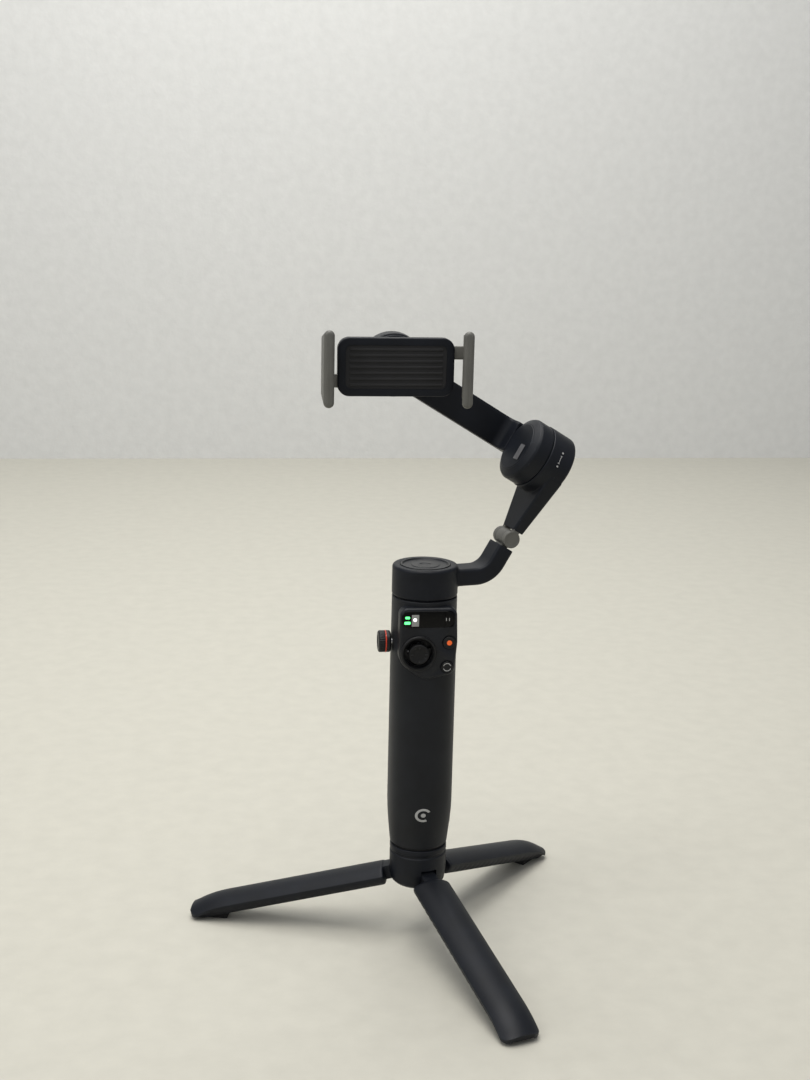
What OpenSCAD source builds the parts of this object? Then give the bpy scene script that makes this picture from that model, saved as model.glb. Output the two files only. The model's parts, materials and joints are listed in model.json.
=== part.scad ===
// Folding three-axis phone gimbal on a small screw-on tripod.
// Origin: on the table, under the pan axis. +Z is up and the control panel faces -Y.

/* [Tripod] */
// Radius of the tripod hub
hub_r = 15.5; // [15:0.1:16]
// Height of the hub's underside above the table
hub_z0 = 30; // [29:0.5:31]
// Length of a leg from its pin to its tip
leg_len = 120; // [116:1:121]
// Width of a leg
leg_w = 21; // [19:0.5:22]
// Angle of an open leg below the horizontal
leg_droop = 15.3; // [15:0.05:15.5]
// Direction of the front leg, seen from above
leg_turn = -73.8; // [-90:0.1:-60]

/* [Handle] */
// Height of the handle's bottom end above the table
handle_z0 = 54; // [54:0.5:55]
// Width of the handle, side to side
handle_w = 34.6; // [34:0.1:36]
// Depth of the handle, front to back
handle_d = 36.4; // [36:0.1:38]
// Thickness of the handle's shell
shell_t = 1.9; // [1.6:0.1:2]
// Travel of each stage of the extension rod
rod_travel = 71.7; // [60:0.1:72]

/* [Arms] */
// Radius of the pan motor
pan_r = 17.4; // [17:0.1:18]
// Height of the pan motor's top
pan_top = 209.5; // [208:0.5:210]
// Direction of the arms, seen from above
arm_turn = 12; // [0:1:20]
// Slope of the outer arm above the horizontal
arm_slope = 59; // [58:0.5:60]
// Depth of the arms, front to back
arm_d = 14.6; // [14:0.1:15]
// Reach of the fold hinge from the pan axis
fold_r = 45.9; // [45:0.1:46.5]
// Height of the fold hinge
fold_z = 221.3; // [221:0.1:222]
// Reach of the tilt motor's centre from the pan axis
tilt_r = 60; // [59.5:0.1:60.5]
// Height of the tilt motor's centre
tilt_z = 264.5; // [264:0.1:265]
// Radius of the tilt motor
tilt_motor_r = 18; // [17.8:0.1:18.2]

/* [Phone clamp] */
// Side-to-side place of the roll axis
roll_x = -17.4; // [-18:0.1:-17]
// Height of the roll axis
roll_z = 312.5; // [312:0.1:313]
// Width of the phone that the jaws are set to
phone_w = 70.5; // [70:0.1:71]
// Height of the jaws
jaw_h = 39; // [36:0.5:40]

/* [Hidden] */
$fn = 64;

eps = 0.05;
gap = 0.3;
// legs and hub
leg_pivot_r = 11;
leg_pivot_z = 36;
leg_pin_r = 1.5;
leg_knuckle_r = 4.3;
leg_knuckle_w = 8.4;
leg_top = 4.5;
leg_bottom = -5.5;
leg_root = 7;
hub_z1 = 52.8;
screw_r = 3.1;
thread_r = 3.175;
// handle
handle_z1 = 192.8;
corner_r = 13.5;
deck_z = 187;
recess_z = 190;
recess_r = 15.5;
tube_r = 8.8;
board_y = -11.4;
board_t = 1.2;
// controls on the front
panel_y = -19;
panel_back = -11.6;
panel_t = 1.6;
stick = [-5.2, -14.2, 166];
stick_ball_r = 6.2;
record_at = [10.8, 171.7];
record_r = 3.35;
switch_at = [9.9, 158.5];
switch_r = 3.05;
key_flange_y = -17.3;
window_z = 184.5;
window_w = 28;
window_h = 9;
mode_x = 8.2;
// controls on the sides and the back
wheel_at = [-2, 168];
power_at = [2, 160];
trigger_pivot = [14, 177];
trigger_w = 12;
usb_z = 68;
// arms: the tilt frame has +Z along the tilt axis towards the phone and +X along the arm
arm_outer = -14.5;
fold_x = (fold_r - tilt_r) * cos(arm_slope) + (fold_z - tilt_z) * sin(arm_slope);
fold_h = -(fold_r - tilt_r) * sin(arm_slope) + (fold_z - tilt_z) * cos(arm_slope);
knuckle_r = 4.6;
knuckle_in = 3.9;
knuckle_out = 7.6;
knuckle_gap = 5.1;
fold_pin_r = 1.5;
elbow_r = 13.6;
elbow_z = 202.15;
arm_t = 9.3;
rotor_z0 = 0.9;
rotor_z1 = 12.2;
bar_x = 3.7;
bar_y = 24;
bar_w = 17.8;
bar_t = 8;
bar_z1 = 87;
// roll motor and clamp, front to back along Y
roll_r = 16.5;
roll_y0 = 11.4;
roll_y1 = 25.6;
plate_y0 = 8.4;
plate_y1 = 11;
clamp_y0 = 1.2;
clamp_y1 = 8.1;
jaw_lip_y = -11.6;
jaw_wall = 2.8;
jaw_lip = 2.6;
pinion_r = 4;

// ---------- frames and small shapes ----------
module arm_frame() rotate([0, 0, arm_turn]) children();
module tilt_frame() arm_frame() translate([tilt_r, 0, tilt_z]) rotate([0, -arm_slope, 0]) children();
module roll_frame() translate([roll_x, 0, roll_z]) children();
// turns a shape drawn on XY so that it lies on XZ and is extruded from y0 to y1
module along_y(y0, y1) translate([0, y1, 0]) rotate([90, 0, 0]) linear_extrude(y1 - y0) children();
module along_x(x0, x1) translate([x0, 0, 0]) rotate([90, 0, 90]) linear_extrude(x1 - x0) children();
module rod_y(r, y0, y1) translate([0, y0, 0]) rotate([-90, 0, 0]) cylinder(r=r, h=y1 - y0);
module rod_x(r, x0, x1) translate([x0, 0, 0]) rotate([0, 90, 0]) cylinder(r=r, h=x1 - x0);
module ring(r1, r0, h) {
    difference() {
        cylinder(r=r1, h=h);
        translate([0, 0, -1]) cylinder(r=r0, h=h + 2);
    }
}
module block(x, y, z) {
    translate([x[0], y[0], z[0]]) cube([x[1] - x[0], y[1] - y[0], z[1] - z[0]]);
}
// a rectangle with true round corners, centred
module round_rect(w, d, r) {
    square([w - 2 * r, d], center=true);
    square([w, d - 2 * r], center=true);
    for (sx = [-1, 1], sy = [-1, 1]) translate([sx * (w / 2 - r), sy * (d / 2 - r)]) circle(r);
}

// ---------- tripod ----------
module leg_frame(turn) {
    rotate([0, 0, turn]) translate([leg_pivot_r, 0, leg_pivot_z]) rotate([0, leg_droop, 0]) children();
}
module each_leg() for (i = [0:2]) rotate([0, 0, leg_turn + 120 * i]) children();

module leg_section() {
    top_r = 16;
    intersection() {
        translate([0, leg_top - top_r]) circle(top_r);
        polygon([[-7, leg_bottom], [7, leg_bottom], [leg_w / 2, -1.5], [leg_w / 2, leg_top + 1],
            [-leg_w / 2, leg_top + 1], [-leg_w / 2, -1.5]]);
    }
}
module leg_plan() {
    tip_r = 5;
    translate([leg_root, -leg_w / 2]) square([leg_len - leg_root - tip_r, leg_w]);
    translate([leg_len - 2 * tip_r, -leg_w / 2 + tip_r]) square([2 * tip_r, leg_w - 2 * tip_r]);
    for (s = [-1, 1]) translate([leg_len - tip_r, s * (leg_w / 2 - tip_r)]) circle(tip_r);
}
module leg_side() {
    polygon([[leg_root, leg_bottom + 1], [leg_root + 1, leg_bottom], [leg_len - 8, leg_bottom],
        [leg_len - 3, -4.4], [leg_len, -2.4], [leg_len, 0.4], [leg_len - 4, 2.2],
        [leg_len - 20, leg_top], [leg_root + 2, leg_top], [leg_root, leg_top - 1.5]]);
}
module leg(turn) {
    rib_step = 16;
    leg_frame(turn) difference() {
        union() {
            difference() {
                intersection() {
                    along_x(0, leg_len + 1) leg_section();
                    translate([0, 0, -10]) linear_extrude(20) leg_plan();
                    along_y(-20, 20) leg_side();
                }
                for (i = [0:4]) {
                    block([16 + i * rib_step, 30 + i * rib_step], [-5.4, 5.4], [leg_bottom - 1, 1.6]);
                }
            }
            rod_y(leg_knuckle_r, -leg_knuckle_w / 2, leg_knuckle_w / 2);
            block([0, leg_root + 3], [-leg_knuckle_w / 2, leg_knuckle_w / 2], [-leg_knuckle_r, 3.8]);
        }
        rod_y(leg_pin_r + 0.06, -10, 10);
    }
}
module foot(turn) {
    intersection() {
        leg_frame(turn) block([leg_len - 19, leg_len - 8], [-5, 5], [-12, leg_bottom]);
        translate([-200, -200, 0]) cube([400, 400, 20]);
    }
}
module leg_front() color("#22252b") leg(leg_turn);
module leg_right() color("#22252b") leg(leg_turn + 120);
module leg_left() color("#22252b") leg(leg_turn + 240);
module foot_front() color("#131316") foot(leg_turn);
module foot_right() color("#131316") foot(leg_turn + 120);
module foot_left() color("#131316") foot(leg_turn + 240);

module hub_body() {
    color("#24272d") difference() {
        rotate_extrude() polygon([[0, hub_z0], [12.5, hub_z0], [14.6, hub_z0 + 1.6], [hub_r, hub_z0 + 7],
            [hub_r, hub_z1 - 5], [hub_r - 0.5, hub_z1 - 4.4], [hub_r - 0.5, hub_z1 - 3.2],
            [hub_r, hub_z1 - 2.6], [hub_r, hub_z1 - 0.6], [hub_r - 0.6, hub_z1], [0, hub_z1]]);
        translate([0, 0, hub_z0 - 1]) cylinder(r=5.6, h=17);
        cylinder(r=screw_r, h=60);
        each_leg() {
            block([6.4, 20], [-4.5, 4.5], [hub_z0 - 1, leg_pivot_z + 5.2]);
            translate([leg_pivot_r, 0, leg_pivot_z]) rod_y(leg_pin_r, -8.5, 8.5);
        }
    }
}
module hub_washer() color("#17181a") translate([0, 0, hub_z1]) ring(14.6, 7, 1);
module hub_base_cap() color("#1c1e22") translate([0, 0, hub_z0]) cylinder(r=5.6, h=2.4);
module tripod_screw() {
    color("#b9bcc0") union() {
        translate([0, 0, hub_z0 + 12]) cylinder(r=5.6, h=4);
        translate([0, 0, hub_z0 + 15]) cylinder(r=screw_r, h=17.5);
    }
}
module leg_pins() {
    color("#9a9da1") each_leg() translate([leg_pivot_r, 0, leg_pivot_z]) rod_y(leg_pin_r, -8.5, 8.5);
}

// ---------- handle ----------
// radius of the handle's turned outline at a height: drawn in at the bottom and the top
function bulge(z) = z < 80 ? 15.7 + 4 * sin(90 * (z - handle_z0) / (80 - handle_z0))
    : z < 150 ? 19.7
    : 19.7 - 2.2 * (1 - cos(90 * (z - 150) / (handle_z1 - 150)));
module grip_solid(inset, z0, z1) {
    zs = [for (i = [0:6]) z0 + (80 - z0) * i / 6, for (i = [0:5]) 150 + (z1 - 150) * i / 5];
    intersection() {
        rotate_extrude() polygon([[0, z0], for (z = zs) [bulge(z) - inset, z], [0, z1]]);
        linear_extrude(z1 + 1) round_rect(handle_w - 2 * inset, handle_d - 2 * inset, corner_r - inset);
    }
}
module panel_outline(inset) {
    hull() {
        for (x = [-11, 10.5]) translate([x, 186.1]) circle(4.3 - inset, $fn=32);
        translate([record_at[0] - 0.5, record_at[1]]) circle(5 - inset, $fn=32);
        translate([switch_at[0] - 0.6, switch_at[1]]) circle(4.9 - inset, $fn=32);
        translate([stick[0], stick[2]]) circle(10.3 - inset, $fn=48);
        translate([0, 160]) circle(8.6 - inset, $fn=48);
    }
}
module window_outline(inset) {
    translate([-0.6, window_z]) round_rect(window_w - 2 * inset, window_h - 2 * inset, 4 - inset);
}
module trigger_slot() block([-trigger_w / 2 - 0.4, trigger_w / 2 + 0.4], [11, 30], [153.4, 180.6]);

module grip_shell() {
    color("#202328") difference() {
        union() {
            difference() {
                grip_solid(0, handle_z0, handle_z1);
                grip_solid(shell_t, handle_z0 + 4, deck_z);
                translate([0, 0, handle_z0 - 1]) cylinder(r=13.4, h=5);
                translate([0, 0, recess_z]) cylinder(r=recess_r, h=5);
                translate([0, 0, 180]) cylinder(r=tube_r, h=20);
            }
            for (s = [-1, 1]) translate([s * 7.5, 0, 0]) block([-1.1, 1.1], [11.4, 15.6], [173, 181]);
        }
        along_y(-30, panel_back) panel_outline(0);
        trigger_slot();
        translate([0, trigger_pivot[0], trigger_pivot[1]]) rod_x(1, -8.6, 8.6);
        translate([0, wheel_at[0], wheel_at[1]]) rod_x(1.7, -20, -10);
        translate([0, power_at[0], power_at[1]]) along_x(10, 20) round_rect(5, 10, 2.4);
        translate([0, 0, usb_z]) along_x(10, 20) round_rect(3.16, 8.94, 1.5);
    }
}
module control_panel() {
    color("#1b1d22") difference() {
        union() {
            along_y(panel_y, panel_y + 0.8) panel_outline(0.9);
            along_y(panel_y + 0.8, panel_back) panel_outline(0);
        }
        difference() {
            along_y(panel_y + panel_t, panel_back + 1) panel_outline(1.6);
            block([-20, 20], [-20, 0], [recess_z - 3, 200]);
        }
        translate([0, 0, recess_z]) cylinder(r=recess_r, h=5);
        along_y(-25, panel_y + 0.6) window_outline(0);
        intersection() {
            along_y(-25, panel_y + 1.2) window_outline(0);
            block([mode_x - 0.15, 20], [-30, 0], [170, 200]);
        }
        translate([stick[0], 0, stick[2]]) rod_y(8.6, -25, -10);
        key_hole(record_at, record_r);
        key_hole(switch_at, switch_r);
    }
}
module status_window() {
    color("#050607") difference() {
        along_y(panel_y - 0.6, panel_y + 0.6) window_outline(0);
        block([mode_x - 0.15, 20], [-30, 0], [170, 200]);
    }
}
module mode_button() {
    color("#050607") intersection() {
        along_y(panel_y - 0.6, panel_y + 0.5) window_outline(0.15);
        block([mode_x, 20], [-30, 0], [170, 200]);
    }
}
module base_cap() {
    color("#1d1f23") translate([0, 0, handle_z0]) difference() {
        ring(13.4, 6, 4);
        for (i = [0:2]) rotate([0, 0, 120 * i]) translate([9.8, 0, -1]) cylinder(r=1.2, h=2.4);
    }
}
module thread_bush() color("#c9a45b") translate([0, 0, handle_z0]) ring(6, thread_r, 10);
module guide_tube() color("#8f9296") translate([0, 0, 66]) ring(tube_r, 8.3, recess_z - 0.4 - 66);
module rod_stage_1() color("#c3c6ca") translate([0, 0, 72]) ring(8.2, 7.3, 117.6);
module rod_stage_2() color("#c3c6ca") translate([0, 0, 74]) ring(7.2, 6.3, 115.9);
module battery_cells() color("#2f6f9f") for (y = [[9.4, 14.2], [-14.2, -9.4]]) block([-9.2, 9.2], y, [78, 138]);
module main_board() {
    color("#1e5b3a") block([-9.4, 9.4], [board_y, board_y + board_t], [146, 186]);
}
module tact_switches() {
    color("#c8c8c0") {
        for (p = [record_at, switch_at]) translate([min(p[0], 7.8), 0, p[1]]) rod_y(1.4, -15.9, board_y);
        translate([7.8, 0, 181]) rod_y(1.4, -16.9, board_y);
    }
}
module joystick_bezel() {
    color("#0c0d0f") translate([stick[0], 0, stick[2]]) rotate([90, 0, 0]) rotate_extrude() polygon([
        [8.6, 17.4], [8.6, 19], [9.5, 19], [9.5, 19.5], [9.1, 19.9], [8.5, 19.9], [7.5, 19.3], [7.5, 17.4]]);
}
module joystick_base() {
    color("#3a3c40") translate(stick) difference() {
        union() {
            difference() {
                rod_y(7.6, 1.2, 2.8);
                rod_y(5.3, 0, 4);
            }
            for (s = [-1, 1]) translate([s * 6.2, 0, 0]) block([-0.8, 0.8], [-1, 2], [-1.6, 1.6]);
        }
        rod_x(0.66, -10, 10);
    }
}
module joystick_ring() {
    color("#77797d") translate(stick) difference() {
        union() {
            difference() {
                rod_y(4.6, -0.9, 0.9);
                rod_y(3.3, -2, 2);
            }
            for (s = [-1, 1]) scale([s, 1, 1]) rod_x(0.6, 4.2, 6.8);
        }
        translate([0, 0, -6]) cylinder(r=0.66, h=12);
    }
}
module joystick_cap() {
    color("#141518") translate(stick) union() {
        intersection() {
            difference() {
                sphere(stick_ball_r);
                sphere(5.2);
            }
            block([-8, 8], [-9, -3.2], [-8, 8]);
        }
        rotate([90, 0, 0]) rotate_extrude() polygon([
            [0, 5.7], [4.4, 5.2], [5.2, 5.6], [5.4, 6.4], [5, 7.2], [4.3, 7.3], [3, 6.8], [0, 6.6]]);
        rod_y(1.1, -5.8, 0.8);
        translate([0, 0, -4.4]) cylinder(r=0.6, h=8.8);
    }
}
module key(at, r) {
    translate([at[0], 0, at[1]]) {
        rod_y(r, panel_y - 0.9, key_flange_y + 0.4);
        rod_y(r + 0.3, key_flange_y, key_flange_y + 0.8);
    }
}
module key_hole(at, r) {
    translate([at[0], 0, at[1]]) {
        rod_y(r + 0.15, -25, -10);
        rod_y(r + 0.5, panel_y + panel_t, -10);
    }
}
module record_button() color("#1a1b1e") key(record_at, record_r);
module switch_button() color("#1a1b1e") key(switch_at, switch_r);
module wheel_axle() {
    color("#a5a8ac") translate([0, wheel_at[0], wheel_at[1]]) {
        rod_x(1.5, -23.4, -14.2);
        rod_x(2.8, -15.1, -14.2);
    }
}
module side_wheel() {
    color("#101114") translate([0, wheel_at[0], wheel_at[1]]) difference() {
        rotate([0, 90, 0]) rotate_extrude() polygon([[0, -24.6], [5.2, -24.6], [5.8, -24], [5.8, -21.1],
            [5.2, -21.1], [5.2, -20.4], [5.8, -20.4], [5.8, -18.4], [5.3, -18], [0, -18]]);
        rod_x(1.56, -23.5, -10);
        for (i = [0:23]) rotate([i * 15, 0, 0]) translate([0, 0, 5.85]) rod_x(0.3, -25, -21.1, $fn=12);
    }
}
module wheel_ring() {
    color("#c8402f") translate([-21.1, wheel_at[0], wheel_at[1]]) rotate([0, 90, 0]) ring(6, 5.2, 0.7);
}
module trigger() {
    color("#17181b") difference() {
        along_x(-trigger_w / 2, trigger_w / 2) polygon([[12.8, 156], [16.4, 154.6], [20.4, 155.2],
            [22.6, 158], [22, 162], [20.4, 167], [19.6, 173], [19.2, 178.6], [17.2, 179.6],
            [12.8, 179.4], [12.4, 174], [13.6, 165]]);
        translate([0, trigger_pivot[0], trigger_pivot[1]]) rod_x(1.06, -10, 10);
    }
}
module trigger_pin() color("#9a9da1") translate([0, trigger_pivot[0], trigger_pivot[1]]) rod_x(1, -8.6, 8.6);
module power_button() {
    color("#1a1b1e") translate([0, power_at[0], power_at[1]]) {
        along_x(14.9, 17.9) round_rect(4.6, 9.6, 2.2);
        along_x(14.2, 15) round_rect(6, 11, 2.8);
    }
}
module usb_port() {
    color("#b5b8bc") translate([0, 0, usb_z]) {
        difference() {
            along_x(9.6, 17) round_rect(3.16, 8.94, 1.5);
            along_x(10.4, 18) round_rect(2.56, 8.34, 1.2);
        }
        along_x(10.2, 16.4) square([0.7, 6.7], center=true);
    }
}

// ---------- pan motor and arms ----------
module pan_base() {
    color("#1e2025") union() {
        translate([0, 0, 76]) ring(6.2, 5.2, 115);
        translate([0, 0, recess_z + 0.2]) ring(15.2, 5.6, 2.9);
        translate([0, 0, 192]) ring(6.2, 5.6, 2);
    }
}
module pan_bearing() {
    color("#c9ccd0") translate([0, 0, 194.2]) ring(5.6, 2.5 + eps, 5);
}
module pan_stator() {
    color("#b87333") translate([0, 0, 194]) {
        ring(7.6, 5.6, 9);
        for (i = [0:11]) rotate([0, 0, 30 * i]) block([7.2, 11.4], [-1.1, 1.1], [0.6, 8.4]);
    }
}
module arm_outline() {
    t = arm_t / 2;
    bend_x = fold_r - (fold_z - elbow_z) / tan(arm_slope) - elbow_r * tan(arm_slope / 2);
    translate([10, elbow_z - t]) square([bend_x - 10, arm_t]);
    translate([bend_x, elbow_z + elbow_r]) intersection() {
        difference() {
            circle(elbow_r + t);
            circle(elbow_r - t);
        }
        polygon([[0, 0], [0, -40], [40, -40], 40 * [sin(arm_slope), -cos(arm_slope)]]);
    }
    translate([fold_r, fold_z]) rotate(arm_slope) {
        reach = norm([fold_r - bend_x - elbow_r * sin(arm_slope), fold_z - elbow_z - elbow_r * (1 - cos(arm_slope))]);
        translate([-reach - 0.4, -t]) square([reach + 0.4 - knuckle_gap, arm_t]);
    }
}
module pan_arm() {
    color("#202329") difference() {
        union() {
            rotate_extrude() polygon([[0, 193.4], [pan_r - 0.5, 193.4], [pan_r, 193.9], [pan_r, pan_top - 1.4],
                [pan_r - 1, pan_top - 0.3], [pan_r - 2, pan_top], [0, pan_top]]);
            arm_frame() along_y(-arm_d / 2, arm_d / 2) arm_outline();
        }
        translate([0, 0, 192]) cylinder(r=15, h=14);
        translate([0, 0, pan_top - 1.5]) cylinder(r=13.2, h=3);
        arm_frame() translate([fold_r, 0, fold_z]) rotate([0, -arm_slope, 0]) barrel_stem();
        cylinder(r=2.5, h=300);
    }
}
// the tongue that joins the barrel to the end of the pan arm
module barrel_stem() block([-10.5, -3], [-knuckle_in, knuckle_in], [-2, 2]);
module pan_magnets() color("#6d7075") translate([0, 0, 194.4]) ring(15, 12.2, 8.6);
module pan_shaft() color("#c9ccd0") translate([0, 0, 193.6]) cylinder(r=2.5, h=14.4);
module pan_cap() {
    color("#26292e") translate([0, 0, pan_top - 1.5]) rotate_extrude() polygon([[0, 0], [13.2, 0], [13.2, 1.9],
        [12.2, 1.9], [11.6, 0.9], [7.6, 0.9], [7.2, 1.2], [3.2, 1.2], [2.8, 0.9], [0, 0.9]]);
}
module fold_frame() arm_frame() translate([fold_r, 0, fold_z]) rotate([0, -arm_slope, 0]) children();
module fold_barrel() {
    color("#7d7c76") fold_frame() difference() {
        union() {
            rod_y(knuckle_r, -knuckle_in, knuckle_in);
            barrel_stem();
        }
        rod_y(fold_pin_r + eps, -10, 10);
    }
}
module ear_stems() {
    for (s = [-1, 1]) translate([0, s * (knuckle_in + 0.15 + knuckle_out - 0.3) / 2, 0])
        block([3, 9.5], [-1.5, 1.5], [-2, 1.8]);
}
module fold_ears() {
    color("#7d7c76") fold_frame() difference() {
        union() {
            rod_y(knuckle_r, -knuckle_out, -knuckle_in - 0.15);
            rod_y(knuckle_r, knuckle_in + 0.15, knuckle_out);
            ear_stems();
        }
        rod_y(fold_pin_r, -7, 7);
    }
}
module fold_pin() color("#b9bcc0") fold_frame() rod_y(fold_pin_r, -7, 7);

// the outer arm seen along the tilt axis: straight sides that meet the round motor at a tangent
module arm_plan(x0) {
    reach = norm([x0, arm_d / 2]);
    turn = atan2(arm_d / 2, x0) - acos(tilt_motor_r / reach);
    touch = [tilt_motor_r * cos(turn), tilt_motor_r * sin(turn)];
    polygon([[x0, arm_d / 2], touch, [0, 0], [touch[0], -touch[1]], [x0, -arm_d / 2]]);
}
module outer_arm() {
    x0 = fold_x + knuckle_gap;
    color("#202329") difference() {
        union() {
            tilt_frame() {
                rotate_extrude() polygon([[0, arm_outer], [tilt_motor_r - 1.8, arm_outer],
                    [tilt_motor_r - 0.5, arm_outer + 0.6], [tilt_motor_r, arm_outer + 2], [tilt_motor_r, 0.1],
                    [tilt_motor_r - 0.5, 0.6], [0, 0.6]]);
                intersection() {
                    along_y(-tilt_motor_r, tilt_motor_r) polygon([[x0, arm_outer], [0, arm_outer], [0, -6],
                        [-14, -6], [x0, fold_h + 2.2]]);
                    translate([0, 0, arm_outer - 1]) linear_extrude(20) arm_plan(x0);
                }
            }
        }
        tilt_frame() translate([0, 0, arm_outer + 2]) cylinder(r=15.6, h=20);
        fold_frame() ear_stems();
    }
}
module tilt_stator() {
    color("#b87333") tilt_frame() translate([0, 0, arm_outer + 2]) {
        ring(7.4, 2.5 + eps, 6);
        ring(7.4, 5.4, 11);
        for (i = [0:11]) rotate([0, 0, 30 * i]) block([7, 11.6], [-1.1, 1.1], [1, 10]);
    }
}
module tilt_rotor() {
    color("#23262c") tilt_frame() difference() {
        union() {
            translate([0, 0, rotor_z0]) rotate_extrude() polygon([[0, 0], [17.2, 0], [17.6, 0.4], [17.6, 7.4],
                [17, 8.6], [13.4, 10.6], [11, 11.3], [0, 11.3]]);
            translate([0, 0, -8]) ring(15.2, 12.4, 9.4);
            translate([0, 0, -11.5]) cylinder(r=2.5, h=14);
        }
        along_x(bar_x - bar_w / 2, bar_x + bar_w / 2) bar_outline();
    }
}
// the side view of the bar: a foot on the rotor, a round corner and a long straight stretch
module bar_outline() {
    back = bar_y + bar_t / 2;
    front = bar_y - bar_t / 2;
    foot_z = rotor_z0 + 0.2;
    corner = 6;
    fillet = 5;
    translate([11, foot_z]) square([back - corner - 11, rotor_z1 - foot_z]);
    translate([back - corner, foot_z + corner]) circle(corner);
    translate([front, foot_z + corner]) square([bar_t, bar_z1 - 4 - foot_z - corner]);
    difference() {
        translate([front - fillet, foot_z + corner - 2]) square([fillet + 1, rotor_z1 + fillet - foot_z - corner + 2]);
        translate([front - fillet, rotor_z1 + fillet]) circle(fillet);
    }
}
module bar_blank() {
    tilt_frame() along_x(bar_x - bar_w / 2, bar_x + bar_w / 2) bar_outline();
    roll_frame() rod_y(roll_r, roll_y0, roll_y1);
}
module bar_pocket() {
    tilt_frame() block([bar_x - bar_w / 2 + 2, bar_x + bar_w / 2 - 2], [bar_y - 1.5, bar_y + bar_t],
        [rotor_z1 + 3, bar_z1 - 19]);
}
module bar_arm() {
    color("#1f2228") difference() {
        bar_blank();
        bar_pocket();
        roll_frame() rod_y(14.4, roll_y0 - 1, roll_y1 - 2);
    }
}
module bar_cover() {
    color("#2b2e34") tilt_frame() block([bar_x - bar_w / 2 + 2, bar_x + bar_w / 2 - 2],
        [bar_y + bar_t / 2 - 1.6, bar_y + bar_t / 2], [rotor_z1 + 3, bar_z1 - 19]);
}
module roll_stator() {
    color("#b87333") roll_frame() translate([0, roll_y1 - 2, 0]) rotate([90, 0, 0]) {
        ring(6.6, 4.6, 9.4);
        for (i = [0:11]) rotate([0, 0, 30 * i]) block([6.2, 10.4], [-1, 1], [0.6, 8.6]);
        ring(4.6, 2 + eps, 5);
    }
}
module roll_plate() {
    color("#2a2d33") roll_frame() difference() {
        union() {
            rod_y(15.6, plate_y0, plate_y1);
            rod_y(2, plate_y1 - 0.5, roll_y1 - 3);
            difference() {
                rod_y(13.9, plate_y1 - 0.5, roll_y1 - 5);
                rod_y(11.4, plate_y1, roll_y1);
            }
        }
        dock_ring(plate_y0);
    }
}
module dock_ring(y0) {
    difference() {
        rod_y(11.5, y0, y0 + 1.4);
        rod_y(6.5, y0 - 1, y0 + 3);
    }
}
module dock_magnets() color("#8d8f93") roll_frame() dock_ring(plate_y0);

// ---------- phone clamp ----------
clamp_w = 60;
clamp_h = 30;
rack_top = 10.8;
module clamp_plan() round_rect(clamp_w, clamp_h, 6);
module jaw_channels() {
    for (s = [0, 1]) mirror([0, 0, s]) block([-40, 40], [2, 5.8], [pinion_r - 0.3, rack_top + 0.2]);
    rod_y(pinion_r + 1.2, 2, 5.8);
}
module clamp_base() {
    color("#202329") roll_frame() difference() {
        union() {
            along_y(3, clamp_y1 - 1) clamp_plan();
            rod_y(14.8, clamp_y1 - 1.2, clamp_y1);
        }
        jaw_channels();
        rod_y(1.56, 2, 7);
    }
}
module clamp_cover() {
    color("#191b1e") roll_frame() difference() {
        along_y(clamp_y0, 3) clamp_plan();
        along_y(clamp_y0 - 1, clamp_y0 + 0.4) round_rect(clamp_w - 8, clamp_h - 8, 3);
    }
}
module clamp_pinion() {
    color("#d8d8d2") roll_frame() {
        rod_y(pinion_r - 0.1, 3.4, 5.6);
        rod_y(1.5, 3.3, 6.8);
    }
}
// s is -1 for the left jaw and 1 for the right one
module jaw(s) {
    inner = phone_w / 2;
    side = s > 0 ? 1 : -1;
    roll_frame() {
        difference() {
            along_y(jaw_lip_y, 7) translate([side * (inner + jaw_wall / 2 - jaw_lip / 2), 0])
                round_rect(jaw_wall + jaw_lip, jaw_h, 2.6);
            translate([side * (inner - 20), 0, 0]) block([-20, 20], [jaw_lip_y + 2.2, 20], [-40, 40]);
        }
        rotate([0, side > 0 ? 0 : 180, 0]) block([4, inner + 1], [3.3, 5.5], [pinion_r, rack_top]);
    }
}
module jaw_left() color("#75746f") jaw(-1);
module jaw_right() color("#75746f") jaw(1);

hub_body();
hub_washer();
hub_base_cap();
tripod_screw();
leg_pins();
leg_front();
leg_right();
leg_left();
foot_front();
foot_right();
foot_left();
grip_shell();
control_panel();
status_window();
mode_button();
base_cap();
thread_bush();
guide_tube();
battery_cells();
main_board();
tact_switches();
joystick_bezel();
joystick_base();
joystick_ring();
joystick_cap();
record_button();
switch_button();
wheel_axle();
side_wheel();
wheel_ring();
trigger();
trigger_pin();
power_button();
usb_port();
rod_stage_1();
rod_stage_2();
pan_base();
pan_stator();
pan_bearing();
pan_arm();
pan_magnets();
pan_cap();
pan_shaft();
fold_barrel();
fold_ears();
fold_pin();
outer_arm();
tilt_stator();
tilt_rotor();
bar_arm();
bar_cover();
roll_stator();
roll_plate();
dock_magnets();
clamp_base();
clamp_cover();
clamp_pinion();
jaw_left();
jaw_right();
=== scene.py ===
import json
import math

import bmesh
import bpy
from mathutils import Matrix, Vector

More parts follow.
